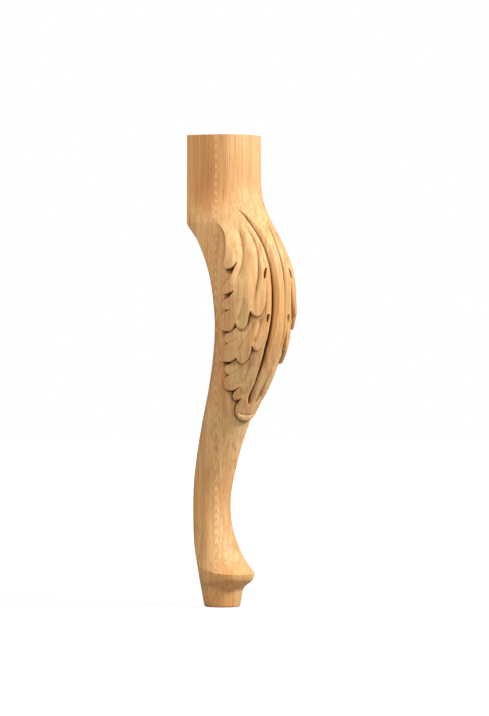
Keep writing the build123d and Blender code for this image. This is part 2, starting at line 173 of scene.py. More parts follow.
# The groove beside the rib, and its width and depth by height above the knee
RIB_GROOVE = [(13.0, 78.5), (20.0, 72.0), (27.0, 64.0), (33.0, 56.0), (39.0, 46.0), (43.5, 34.0),
              (47.0, 18.5), (48.8, 0.0), (48.6, -16.0), (46.5, -31.0), (42.5, -47.0), (38.5, -62.0),
              (32.5, -77.0), (27.5, -91.0), (25.0, -100.5)]
groove_width = Curve((79, 0.2), (72, 2.6), (60, 5.2), (40, 6.2), (0, 6.0), (-40, 4.6), (-80, 3.2), (-98, 2.8),
                     (-101, 0.3))
groove_depth = Curve((79, 0.0), (72, 1.6), (60, 3.2), (40, 3.8), (0, 4.0), (-40, 3.4), (-80, 2.7), (-98, 2.2),
                     (-101, 0.0))

# Creases between the strands: path, depth, width of the gentle left side, width of the steep right side
UPPER_CREASES = (
    ([(9.8, 63.5), (13.6, 58.5), (16.6, 53.0), (18.1, 46.0), (18.9, 39.0), (18.5, 31.5), (16.6, 22.3),
      (12.8, 14.0), (9.5, 8.5)], 2.5, 9.0, 6.0),
    ([(18.9, 64.0), (23.4, 58.0), (27.9, 51.0), (31.0, 44.3), (32.8, 36.0), (33.3, 26.5), (33.1, 15.0),
      (31.7, 7.4), (29.4, -2.5), (26.4, -10.5)], 2.3, 6.5, 2.6),
    ([(29.0, 54.5), (32.4, 48.0), (35.5, 38.6), (37.4, 29.5), (38.6, 21.0)], 1.0, 3.0, 2.0),
    ([(13.0, -3.0), (8.5, -12.0), (6.2, -21.0), (4.8, -28.0)], 0.7, 4.5, 4.5),
    ([(20.0, -4.0), (17.5, -14.0), (15.0, -22.0), (12.8, -26.5)], 1.2, 4.0, 4.0),
)
MIDDLE_CREASES = (
    ([(30.0, -22.0), (27.0, -31.0), (21.0, -40.0), (16.0, -48.0), (12.8, -56.5)], 1.3, 5.5, 4.0),
    ([(36.0, -20.0), (34.0, -30.0), (31.0, -40.0), (27.4, -47.0)], 1.2, 4.0, 2.4),
    ([(14.0, -40.0), (9.5, -43.0), (5.5, -44.9)], 0.8, 3.0, 3.0),
)
LOWER_CREASES = (
    ([(26.0, -58.0), (23.0, -70.0), (19.5, -78.0), (15.8, -84.0)], 1.1, 4.5, 4.0),
    ([(15.0, -68.0), (10.0, -71.5), (6.4, -73.4)], 0.7, 3.0, 3.0),
    ([(27.0, -76.0), (23.0, -86.0), (17.2, -94.6)], 0.7, 3.5, 3.0),
    ([(14.5, -107.0), (19.0, -109.2), (26.0, -109.6), (36.0, -108.8)], 0.8, 1.4, 1.8),
)
UPPER_EYE = [(38.9, 23.2), (40.4, 23.0), (40.6, 18.5), (39.6, 14.0), (38.0, 13.6), (37.7, 18.5)]
MIDDLE_EYE = [(41.0, -18.2), (43.0, -18.0), (43.2, -20.6), (41.8, -25.0), (40.4, -25.6), (40.2, -21.5)]
EYE_DEPTH = 4.6
EYE_WALL = 0.5            # how far the wall of an eye leans in

# Where the groove beside the rib starts, is deepest and ends, as shares of its width towards the rib
GROOVE_LEFT = -0.85
GROOVE_BOTTOM = -0.15
GROOVE_RIGHT = 0.5
GROOVE_SHAPE = 1.5        # how hollow its left side is, as a power
RIB_CLEARANCE = 0.9       # the turned groove of the far half stays this far from the diagonal

WALL_RUN = 0.35           # how far a leaf's wall leans in from its foot to its top
EDGE_ROUNDING = 1.2       # width of the softened edge along the top of a wall
EDGE_DROP = 0.5
EDGE_DROP_SHARE = 0.3     # the edge drops by no more than this share of the leaf's height
CURL = 0.6                # how far the edges of the leaf turn up
CURL_WIDTH = 6.0
CURL_LEVEL = 4.0          # height of the leaf from which its edges turn up in full
CREASE_SHAPE = 1.6        # how hollow the sides of a crease are, as a power
CREASE_FADE = 1.6         # how fast a crease deepens from its ends
UNDER_GROUND = -1.0       # height of a tier outside its edge
ORNAMENT_TURN = 6.0       # the far half of the leaf is carved this much closer to the near one, in degrees
TURN_FADE = 24.0          # and this turn dies out over this distance from the rib

# The crease round the foot is sought between these heights, and a drawn place between these angles
CREASE_FROM = TOE_HEIGHT - 4
CREASE_TO = TOE_HEIGHT + 34
CREASE_HEIGHTS = 153
CREASE_ANGLES = 91
SEARCH_FROM = -10.0
SEARCH_TO = 135.0
SEARCH_STEPS = 30

# The mesh: the spacing of its points, in mm on the unrolled leg
LINE_SPACING = 0.6        # between points along the leaf's edges and creases
FINE_SPACING = 0.85       # between mesh points on the carving
PLAIN_SPACING = 2.0
FOOT_SPACING = 1.5
FOOT_ROWS = 1.1           # between rows of points on the foot
FOOT_TOP = 65.0
ROW_SHARE = 0.87          # of the fine spacing, between rows of points on the carving
END_GAP = 0.8             # the last row but one stays this far from the top
SEAM_GAP = 0.4            # points and lines stay this far from the seam and the diagonal
LINE_GAP = 0.42           # points stay this far from the lines
SEAM_FROM = 2.2           # points along the upright lines start here
SEAM_SPACING = 1.6
RING_POINTS = 50          # along half of each level line
UNDER_LEAF = 0.5          # lines end this far under the tier that lies over them
OFFSET_KEPT = 0.85        # share of its distance that an offset line keeps near a notch
CARVED_FROM = 160.0       # the fine spacing is used between these heights, up to this angle
CARVED_TO = 372.0
CARVED_ANGLE = 118.0
MERGE_DISTANCE = 2e-6     # in metres, along the seam and round the sole and the top
TRIANGLE_TOLERANCE = 1e-4
SHARP_ANGLE = 42.0        # edges that turn by more than this aren't shaded smooth

# The field that finds the hollows: its reach, its cells and how far round each place it looks
HOLLOW_REACH = 72.0
HOLLOW_FROM = 150.0
HOLLOW_TO = 380.0
HOLLOW_STEP = 0.7
NEAR_HOLLOW = 0.9
WIDE_HOLLOW = 2.6

# The wood: noise cells per metre along X, Y and Z, and how strongly each part colours it
LATE_RISE = (0.2, 0.85)   # shares of a ring between which its late wood darkens, then ends
LATE_FALL = (0.85, 1.0)
DRIFT_CELLS = (16.0, 16.0, 4.5)
JITTER_CELLS = (120.0, 60.0, 16.0)
JITTER_SHARE = 0.3
FIBRE_CELLS = (900.0, 260.0, 11.0)
FIBRE_EDGES = (0.45, 0.72)
FIBRE_STRENGTH = 0.45
PORE_CELLS = (1500.0, 500.0, 34.0)
PORE_EDGES = (0.57, 0.67)
PORE_STRENGTH = 0.32
STREAK_CELLS = (260.0, 90.0, 4.0)
STREAK_EDGES = (0.42, 0.70)
STREAK_STRENGTH = 0.4
TONE_CELLS = (14.0, 14.0, 9.0)
TONE_EDGES = (0.35, 0.65)
RING_STRENGTH = 0.08
ARCH_STRENGTH = 0.4
# Painted highlight on the carving's raised edges, and painted shade in its hollows and at the feet of its walls:
PAINTED_HIGHLIGHT_FROM = 0.2          # height over the surroundings, in mm, where the painted highlight on raised edges starts
PAINTED_HIGHLIGHT_FULL = 2.2
PAINTED_HIGHLIGHT_STRENGTH = 0.2
PAINTED_SHADE_FULL = 1.35        # depth below the surroundings, in mm, that has the full painted shade
PAINTED_SHADE_STRENGTH = 0.94
GRAIN_DEPTH = 0.00012

# The studio: places and sizes in metres, and the height of the camera's sensor in mm
AIM = (0.02, -0.02, 0.24)
KEY_PLACE = (2.1, -0.8, 1.9)
KEY_SIZE = 0.5
KEY_COLOUR = (1, 1, 0.98)
FILL_PLACE = (-0.9, -1.75, 2.0)
FILL_SIZE = 0.6
FILL_COLOUR = (1, 0.87, 0.73)
SKY_COLOUR = (1.0, 0.88, 0.77, 1)
WHITE = (1, 1, 1, 1)
FLOOR_REACH = 6
FLOOR_SHADE = (0.4, 0.4, 0.4, 1)
FLOOR_GLOW = 1.25
NEAR_GLOW = 0.75          # share of the glow by the foot, so that the shadow shows
GLOW_EDGES = (0.3, 1.0)   # distances from the foot between which the glow rises to its whole
SENSOR = 36


def body_radius(height):
    """Half the width of the round section between the two profiles."""
    return (outer_profile(height) - inner_profile(height)) / 2


def body_centre(height):
    """X of the middle between the two profiles."""
    return (outer_profile(height) + inner_profile(height)) / 2


def axis_place(height):
    """X of the upright line that angles are measured about; it moves to the foot's middle below the ankle."""
    share = np.clip((ANKLE_HEIGHT - height) / AXIS_BLEND, 0, 1)
    return body_centre(np.maximum(height, ANKLE_HEIGHT)) * (1 - share * share * (3 - 2 * share))


def circle_reach(angle, height, front, back):
    """How far a round section between two X places stands from the axis, looking out at an angle."""
    offset = ((front + back) / 2 - axis_place(height)) * math.sqrt(2)
    along = offset * np.cos(np.radians(angle))
    return along + np.sqrt(np.maximum(along ** 2 - offset ** 2 + ((front - back) / 2) ** 2, 0.01))


def flare_reach(angle, height):
    """The reach of the shaft's round section, which flares over the foot."""
    return circle_reach(angle, height, outer_profile(height), inner_profile(height))


def foot_reach(angle, height):
    """The reach of the foot: the pad, the swelling under the toe and the straight heel."""
    sole = np.clip(1 - height / SOLE_CHAMFER, 0, 1) * SOLE_CHAMFER
    front = np.where(height < PAD_LENGTH, pad_front(height), foot_front(height)) - sole
    heel = -(PAD_RADIUS + HEEL_SLOPE * (height - PAD_LENGTH))
    back = np.where(height < PAD_LENGTH, -pad_front(height), heel) + sole
    return circle_reach(angle, height, front, back)


def skin_reach(angle, height, lift):
    """How far the leg's surface stands from its axis, looking out at an angle from the diagonal."""
    angle = np.abs(angle)
    arris = 1 / math.cos(math.radians(ARRIS_ANGLE - FACE_ANGLE)) - 1
    cheek = np.clip((angle - CHEEK_ANGLE) / (ARRIS_ANGLE - CHEEK_ANGLE), 0, 1) ** CHEEK_CURVE * arris
    face = 1 / np.cos(np.radians(angle - FACE_ANGLE)) - 1
    stretch = np.where(angle > ARRIS_ANGLE, face, cheek)
    ridge = np.where(angle < CHEEK_ANGLE, front_ridge(height) * np.cos(np.radians(2 * angle)) ** 2, 0)
    share = np.clip((180 - angle) / (180 - ARRIS_ANGLE), 0, 1)
    reach = body_radius(height) * (1 + squareness(height) * stretch + ridge) + lift * share
    flare = flare_reach(angle, height)
    foot = foot_reach(angle, height)
    near = np.clip(0.5 + (foot - flare) / (2 * CREASE_ROUNDING), 0, 1)
    blended = foot + (flare - foot) * near - CREASE_ROUNDING * near * (1 - near)
    return np.where(height < ANKLE_HEIGHT, blended, reach)


def skin_point(angle, height, lift):
    """Points of the leg's surface in metres; positive angles are on the half that faces -Y."""
    centre = axis_place(height)
    reach = skin_reach(angle, height, lift)
    turn = np.radians(-45 - angle)
    return np.stack([centre + reach * np.cos(turn), reach * np.sin(turn) - centre, height], axis=-1) * MM


def unroll(points, lift):
    """Drawn (x, height above the knee) points as (distance round from the diagonal, height)."""
    points = np.array(points, float)
    height = KNEE_HEIGHT + points[:, 1]
    level = lift(points[:, 1])
    low = np.full(len(points), SEARCH_FROM)
    high = np.full(len(points), SEARCH_TO)
    for _ in range(SEARCH_STEPS):
        middle = (low + high) / 2
        further = skin_point(middle, height, level)[:, 0] / MM > points[:, 0]
        low = np.where(further, middle, low)
        high = np.where(further, high, middle)
    return np.stack([np.radians(low) * body_radius(height), height], axis=-1)


def smooth_line(points, spacing):
    """Points at an even spacing along a smooth curve through the given ones."""
    points = np.array(points, float)
    ends = np.vstack([2 * points[0] - points[1], points, 2 * points[-1] - points[-2]])
    line = []
    for a, b, c, d in zip(ends, ends[1:], ends[2:], ends[3:]):
        count = max(1, int(round(np.linalg.norm(c - b) / spacing)))
        for i in range(count):
            t = i / count
            line.append(0.5 * (2 * b + (c - a) * t + (2 * a - 5 * b + 4 * c - d) * t * t
                               + (3 * b - a - 3 * c + d) * t ** 3))
    line.append(points[-1])
    return np.array(line)


def distance_to_line(places, line):
    """Distance of each place to a line, and on which side of it the place lies (+1 is right of travel)."""
    best = np.full(len(places), 1e9)
    side = np.ones(len(places))
    share = np.zeros(len(places))
    for i, (a, b) in enumerate(zip(line, line[1:])):
        run = b - a
        t = np.clip((places - a) @ run / max(run @ run, 1e-9), 0, 1)
        away = places - a - t[:, None] * run
        distance = np.hypot(away[:, 0], away[:, 1])
        closer = distance < best
        best = np.where(closer, distance, best)
        side = np.where(closer, np.sign(run[1] * away[:, 0] - run[0] * away[:, 1]), side)
        share = np.where(closer, (i + t) / (len(line) - 1), share)
    return best, side, share


def inside_polygon(places, polygon):
    """Which places lie inside a closed polygon."""
    inside = np.zeros(len(places), bool)
    for a, b in zip(polygon, np.roll(polygon, -1, axis=0)):
        crosses = (a[1] > places[:, 1]) != (b[1] > places[:, 1])
        slope = (b[0] - a[0]) / (b[1] - a[1]) if b[1] != a[1] else 0.0
        inside ^= crosses & (places[:, 0] < a[0] + (places[:, 1] - a[1]) * slope)
    return inside


class Tier:
    """One tier of the half leaf: its drawn edge, its rise and the creases between its strands."""

    def __init__(self, strokes, inside, lift, creases):
        self.lift = lift
        self.strokes = [smooth_line(unroll(stroke, lift), LINE_SPACING) for stroke in strokes]
        self.edge = np.vstack([stroke[:-1] for stroke in self.strokes] + [self.strokes[-1][-1:]])
        self.polygon = np.vstack([self.edge, unroll(inside, lift)[1:-1]])
        self.creases = [(smooth_line(unroll(path, lift), LINE_SPACING), depth, left, right)
                        for path, depth, left, right in creases]

    def height_at(self, places):
        """Height of the tier over the ground; far below it outside the tier."""
        distance, _, _ = distance_to_line(places, self.edge)
        level = self.lift(places[:, 1] - KNEE_HEIGHT)
        for path, depth, left, right in self.creases:
            away, side, share = distance_to_line(places, path)
            width = np.where(side > 0, right, left)
            fall = np.clip(1 - away / width, 0, 1) ** CREASE_SHAPE
            level = level - depth * fall * np.clip(np.sin(np.pi * np.clip(share, 0, 1)) * CREASE_FADE, 0, 1)
        curl = np.clip(1 - distance / CURL_WIDTH, 0, 1) ** 2 * np.clip(level / CURL_LEVEL, 0, 1)
        level = level + CURL * curl
        drop = np.minimum(EDGE_DROP, EDGE_DROP_SHARE * level)
        soft = np.clip((distance - WALL_RUN) / EDGE_ROUNDING, 0, 1)
        top = level - drop * (1 - soft) ** 2
        level = top * np.clip(distance / WALL_RUN, 0, 1)
        return np.where(inside_polygon(places, self.polygon), level, UNDER_GROUND)


def eye_outlines():
    """The outlines of the two drilled eyes beside the rib, in the unrolled plane."""
    return [smooth_line(unroll(eye + eye[:1], lift), FINE_SPACING / 2)
            for eye, lift in ((UPPER_EYE, upper_lift), (MIDDLE_EYE, middle_lift))]


def groove_frame(heights):
    """The middle of the groove beside the rib and the cosine of its lean at each height, and its ends."""
    groove = unroll(RIB_GROOVE, rib_lift)[::-1]
    middle = Curve(*[(height, reach) for reach, height in groove])
    slope = (middle(heights + 1) - middle(heights - 1)) / 2
    return middle(heights), np.cos(np.arctan(slope)), groove[0][1], groove[-1][1]


def far_shift(heights):
    """How much closer to the diagonal the carving of the far half sits, for the ornament's slight turn."""
    middle, lean, _, _ = groove_frame(heights)
    rib_edge = middle - GROOVE_RIGHT * groove_width(heights - KNEE_HEIGHT) / lean
    turn = np.radians(ORNAMENT_TURN) * body_radius(heights)
    return np.clip(turn, 0, np.maximum(rib_edge - RIB_CLEARANCE, 0))


def drawn_places(places):
    """Where on the drawn half leaf each place of the whole unrolled leg lies."""
    reach = np.abs(places[:, 0])
    shift = far_shift(places[:, 1]) * np.clip(1 - reach / TURN_FADE, 0, 1)
    return np.stack([np.where(places[:, 0] < 0, reach + shift, reach), places[:, 1]], axis=-1)


def carved_height(places, tiers):
    """Height of the carving over the ground at each place of the unrolled leg."""
    places = drawn_places(places)
    above = places[:, 1] - KNEE_HEIGHT
    leaf = np.zeros(len(places))
    for tier in tiers:
        leaf = np.maximum(leaf, tier.height_at(places))
    middle, lean, lowest, highest = groove_frame(places[:, 1])
    width = groove_width(above)
    across = (middle - places[:, 0]) * lean / width
    ribbed = (places[:, 1] > lowest) & (places[:, 1] < highest)
    share = np.clip((across - GROOVE_BOTTOM) / (GROOVE_RIGHT - GROOVE_BOTTOM), 0, 1)
    level = np.where(ribbed, leaf + (rib_lift(above) - leaf) * share, leaf)
    left = np.clip((across - GROOVE_LEFT) / (GROOVE_BOTTOM - GROOVE_LEFT), 0, 1)
    right = np.clip((GROOVE_RIGHT - across) / (GROOVE_RIGHT - GROOVE_BOTTOM), 0, 1)
    cut = np.where(across < GROOVE_BOTTOM, left ** GROOVE_SHAPE, right)
    level = np.where(ribbed, level - groove_depth(above) * cut, level)
    level = np.where(places[:, 1] >= highest, 0.0, level)
    for outline in eye_outlines():
        distance, _, _ = distance_to_line(places, outline)
        sink = EYE_DEPTH * np.clip(distance / EYE_WALL, 0, 1)
        level = np.where(inside_polygon(places, outline), level - sink, level)
    return level


def soften(level, width):
    """A height field blurred over a width given in cells."""
    reach = np.arange(-int(3 * width), int(3 * width) + 1)
    kernel = np.exp(-0.5 * (reach / width) ** 2)
    kernel /= kernel.sum()
    for axis in (0, 1):
        level = np.apply_along_axis(np.convolve, axis, level, kernel, "same")
    return level


def hollowness(places, lift, tiers):
    """How far the carving lies below its surroundings at each place, in mm; negative on crests."""
    reaches = np.arange(-HOLLOW_REACH, HOLLOW_REACH, HOLLOW_STEP)
    heights = np.arange(HOLLOW_FROM, HOLLOW_TO, HOLLOW_STEP)
    cells = np.stack(np.meshgrid(reaches, heights), axis=-1).reshape(-1, 2)
    level = carved_height(cells, tiers).reshape(len(heights), len(reaches))
    level = (soften(level, NEAR_HOLLOW / HOLLOW_STEP) + soften(level, WIDE_HOLLOW / HOLLOW_STEP)) / 2
    column = np.clip((places[:, 0] - reaches[0]) / HOLLOW_STEP, 0, len(reaches) - 1.01)
    row = np.clip((places[:, 1] - heights[0]) / HOLLOW_STEP, 0, len(heights) - 1.01)
    i = row.astype(int)
    j = column.astype(int)
    up = row - i
    over = column - j
    around = ((level[i, j] * (1 - over) + level[i, j + 1] * over) * (1 - up)
              + (level[i + 1, j] * (1 - over) + level[i + 1, j + 1] * over) * up)
    return around - lift


def inner_offset(line, polygon, offset):
    """The line moved into a polygon, in pieces, without the parts that would cross near a notch."""
    tangent = np.gradient(line, axis=0)
    tangent /= np.maximum(np.hypot(tangent[:, 0], tangent[:, 1]), 1e-9)[:, None]
    moved = None
    for sign in (1, -1):
        trial = line + sign * offset * np.stack([-tangent[:, 1], tangent[:, 0]], axis=-1)
        if inside_polygon(trial, polygon).mean() > 0.5:
            moved = trial
    if moved is None:
        return []
    distance, _, _ = distance_to_line(moved, line)
    return split_line(moved, distance > OFFSET_KEPT * offset)


def split_line(line, keep):
    """The pieces of a line whose points are kept."""
    pieces = []
    piece = []
    for point, good in zip(line, keep):
        if good:
            piece.append(point)
        elif piece:
            pieces.append(np.array(piece))
            piece = []
    if piece:
        pieces.append(np.array(piece))
    return [p for p in pieces if len(p) > 1]


def plain_points():
    """Rows of points over the unrolled half, closer together on the carving and the foot."""
    rows = [0.0, SOLE_CHAMFER]
    height = 0.0
    while height < LEG_HEIGHT:
        if CARVED_FROM < height < CARVED_TO:
            height += FINE_SPACING * ROW_SHARE
        elif height < FOOT_TOP:
            height += FOOT_ROWS
        else:
            height += PLAIN_SPACING
        rows.append(height)
    rows = [h for h in rows if h < LEG_HEIGHT - END_GAP] + [LEG_HEIGHT]
    points = []
    for row, height in enumerate(rows):
        radius = body_radius(height)
        fine = CARVED_FROM < height < CARVED_TO
        gap = FINE_SPACING if fine else (FOOT_SPACING if height < FOOT_TOP else PLAIN_SPACING)
        reach = gap * 0.5 + 0.5 * gap * (row % 2)
        while reach < math.pi * radius - SEAM_GAP:
            points.append((reach, height))
            reach += gap if not fine or reach < math.radians(CARVED_ANGLE) * radius else PLAIN_SPACING
    return points


def far_lines(line):
    """A line of the drawn half leaf as it runs on the far half, in pieces clear of the diagonal."""
    shift = far_shift(line[:, 1])
    reach = np.where(line[:, 0] < TURN_FADE, (line[:, 0] - shift) / (1 - shift / TURN_FADE), line[:, 0])
    far = np.stack([-reach, line[:, 1]], axis=-1)
    return split_line(far, reach > SEAM_GAP)


def foot_crease():
    """The line round half the foot, on the unrolled half, along which the shaft's flare is cut off."""
    angles = np.linspace(0, 180, CREASE_ANGLES)
    heights = np.linspace(CREASE_FROM, CREASE_TO, CREASE_HEIGHTS)
    angle, height = np.meshgrid(angles, heights)
    gap = foot_reach(angle, height) - flare_reach(angle, height)
    above = np.maximum(np.argmax(gap > 0, axis=0), 1)
    column = np.arange(len(angles))
    share = gap[above - 1, column] / (gap[above - 1, column] - gap[above, column])
    crease = heights[above - 1] + np.clip(share, 0, 1) * (heights[1] - heights[0])
    return np.stack([np.radians(angles) * body_radius(crease), crease], axis=-1)


def carving_lines(tiers):
    """The lines of the near half's carving that the mesh has to follow, in the unrolled plane."""
    lines = []
    for depth, tier in enumerate(tiers):
        over = tiers[:depth]
        for stroke in tier.strokes:
            lines.extend(clear_of(stroke, over))
            for offset in (WALL_RUN, WALL_RUN + 0.5 * EDGE_ROUNDING):
                for line in inner_offset(stroke, tier.polygon, offset):
                    lines.extend(clear_of(line, over))
        for path, _, _, _ in tier.creases:
            lines.extend(clear_of(path, over))
    heights = smooth_line(unroll(RIB_GROOVE, rib_lift), FINE_SPACING)[1:-1, 1]
    middle, lean, _, _ = groove_frame(heights)
    for share in (GROOVE_LEFT, GROOVE_BOTTOM, GROOVE_RIGHT):
        reach = middle - share * groove_width(heights - KNEE_HEIGHT) / lean
        lines.append(np.stack([reach, heights], axis=-1))
    for outline in eye_outlines():
        lines.append(outline)
        lines.extend(inner_offset(outline, outline, EYE_WALL))
    return lines


def body_lines():
    """The lines of the foot, the arrises, the seam and the ends that the mesh has to follow."""
    crease = foot_crease()
    lines = [crease, crease * (-1, 1)]
    between = np.arange(SEAM_FROM, LEG_HEIGHT - 1, SEAM_SPACING)
    heights = np.concatenate([[0.0, SOLE_CHAMFER], between, [LEG_HEIGHT]])
    for angle in (-180.0, -ARRIS_ANGLE, 0.0, ARRIS_ANGLE, 180.0):
        lines.append(np.stack([math.radians(angle) * body_radius(heights), heights], axis=-1))
    for height, start in ((0.0, 0.0), (SOLE_CHAMFER, 0.0), (PAD_LENGTH, 0.0), (BLOCK_BASE, ARRIS_ANGLE),
                          (LEG_HEIGHT, 0.0)):
        radius = body_radius(height)
        reach = np.linspace(math.radians(start) * radius, math.pi * radius, RING_POINTS)
        lines.append(np.stack([reach, np.full(len(reach), height)], axis=-1))
        lines.append(np.stack([-reach, np.full(len(reach), height)], axis=-1))
    return lines


def flat_mesh(tiers):
    """The points and triangles of the whole leg in its unrolled plane."""
    lines = carving_lines(tiers)
    lines.extend([piece for line in lines for piece in far_lines(line)])
    lines.extend(body_lines())
    points = []
    edges = []
    for line in lines:
        first = len(points)
        points.extend(Vector((float(x), float(y))) for x, y in line)
        edges.extend((first + i, first + i + 1) for i in range(len(line) - 1))
    tree = KDTree(len(points))
    for i, point in enumerate(points):
        tree.insert((point.x, point.y, 0.0), i)
    tree.balance()
    for x, y in plain_points():
        for reach in (x, -x):
            if tree.find((reach, y, 0.0))[2] > LINE_GAP:
                points.append(Vector((float(reach), float(y))))
    found, _, faces, _, _, _ = delaunay_2d_cdt(points, edges, [], 0, TRIANGLE_TOLERANCE)
    places = np.array([(p.x, p.y) for p in found])
    triangles = np.array(faces, int)
    middle = places[triangles].mean(axis=1)
    return places, triangles[np.abs(middle[:, 0]) < math.pi * body_radius(middle[:, 1])]


def clear_of(line, tiers):
    """The pieces of a line that don't run under a tier that lies over it."""
    hidden = np.zeros(len(line), bool)
    for tier in tiers:
        distance, _, _ = distance_to_line(line, tier.edge)
        hidden |= inside_polygon(line, tier.polygon) & (distance > UNDER_LEAF)
    return split_line(line, ~hidden)


def leg_mesh():
    """The whole carved leg as one closed mesh."""
    tiers = [Tier(UPPER_EDGE, UPPER_INSIDE, upper_lift, UPPER_CREASES),
             Tier(MIDDLE_EDGE, MIDDLE_INSIDE, middle_lift, MIDDLE_CREASES),
             Tier(LOWER_EDGE, LOWER_INSIDE, lower_lift, LOWER_CREASES)]
    places, triangles = flat_mesh(tiers)
    angle = np.degrees(places[:, 0] / body_radius(places[:, 1]))
    lift = carved_height(places, tiers)
    mesh = bpy.data.meshes.new("carved_leg")
    mesh.from_pydata(skin_point(angle, places[:, 1], lift).tolist(), [], triangles.tolist())
    # The hollow attribute, the carving's depth below its surroundings, drives the painted shade and the painted
    # highlight of the oak
    hollow = mesh.attributes.new("hollow", "FLOAT", "POINT")
    hollow.data.foreach_set("value", hollowness(places, lift, tiers))
    work = bmesh.new()
    work.from_mesh(mesh)
    bmesh.ops.remove_doubles(work, verts=work.verts, dist=MERGE_DISTANCE)
    loose = [v for v in work.verts if not v.link_faces]
    bmesh.ops.delete(work, geom=loose, context="VERTS")
    rim = [e for e in work.edges if e.is_boundary]
    bmesh.ops.holes_fill(work, edges=rim, sides=0)
    bmesh.ops.triangulate(work, faces=[f for f in work.faces if len(f.verts) > 4])
    bmesh.ops.recalc_face_normals(work, faces=work.faces)
    for face in work.faces:
        face.smooth = True
    for edge in work.edges:
        if edge.is_manifold and edge.calc_face_angle(0) > math.radians(SHARP_ANGLE):
            edge.smooth = False
    work.to_mesh(mesh)
    work.free()
    return mesh


class Socket:
    """A shader socket that takes part in arithmetic by adding Math nodes."""

    def __init__(self, finish, socket):
        self.finish = finish
        self.socket = socket

    def _math(self, operation, *values):
        return self.finish.node("ShaderNodeMath", {"operation": operation}, dict(enumerate(values)))

    def __add__(self, other):
        return self._math("ADD", self, other)

    def __radd__(self, other):
        return self._math("ADD", other, self)

    def __sub__(self, other):
        return self._math("SUBTRACT", self, other)

    def __rsub__(self, other):
        return self._math("SUBTRACT", other, self)

    def __mul__(self, other):
        return self._math("MULTIPLY", self, other)

    def __rmul__(self, other):
        return self._math("MULTIPLY", other, self)

    def __pow__(self, other):
        return self._math("POWER", self, other)


class Finish:
    """The shader nodes of a material or a world under construction."""

    def __init__(self, owner):
        owner.use_nodes = True
        self.nodes = owner.node_tree.nodes
        self.links = owner.node_tree.links
        self.nodes.clear()

    def node(self, kind, settings=None, inputs=None, output=0):
        """Adds one node: its settings first, then the values or links of its sockets."""
        made = self.nodes.new(kind)
        for name, value in (settings or {}).items():
            setattr(made, name, value)
        for name, value in (inputs or {}).items():
            if isinstance(value, Socket):
                self.links.new(value.socket, made.inputs[name])
            else:
                made.inputs[name].default_value = value
        return Socket(self, made.outputs[output]) if made.outputs else None

    def blend(self, share, first, second):
        """A colour between two, by a share."""
        return self.node("ShaderNodeMix", {"data_type": "RGBA"}, {0: share, 6: first, 7: second}, output=2)

    def noise(self, place, cells, detail):
        """Soft noise with its cells per metre along X, Y and Z."""
        scaled = self.node("ShaderNodeVectorMath", {"operation": "MULTIPLY"}, {0: place, 1: cells})
        return self.node("ShaderNodeTexNoise", {}, {"Vector": scaled, "Scale": 1.0, "Detail": detail})

    def ramp(self, value, low, high):
        """Turns a value into a mask that rises from 0 at low to 1 at high."""
        return self.node("ShaderNodeMapRange", {"interpolation_type": "SMOOTHSTEP", "clamp": True},
                         {"Value": value, "From Min": low, "From Max": high})


def linear(colour):
    """A colour as seen on a screen, as the light it stands for."""
    return [c / 12.92 if c <= 0.04045 else ((c + 0.055) / 1.055) ** 2.4 for c in colour[:3]] + [1.0]


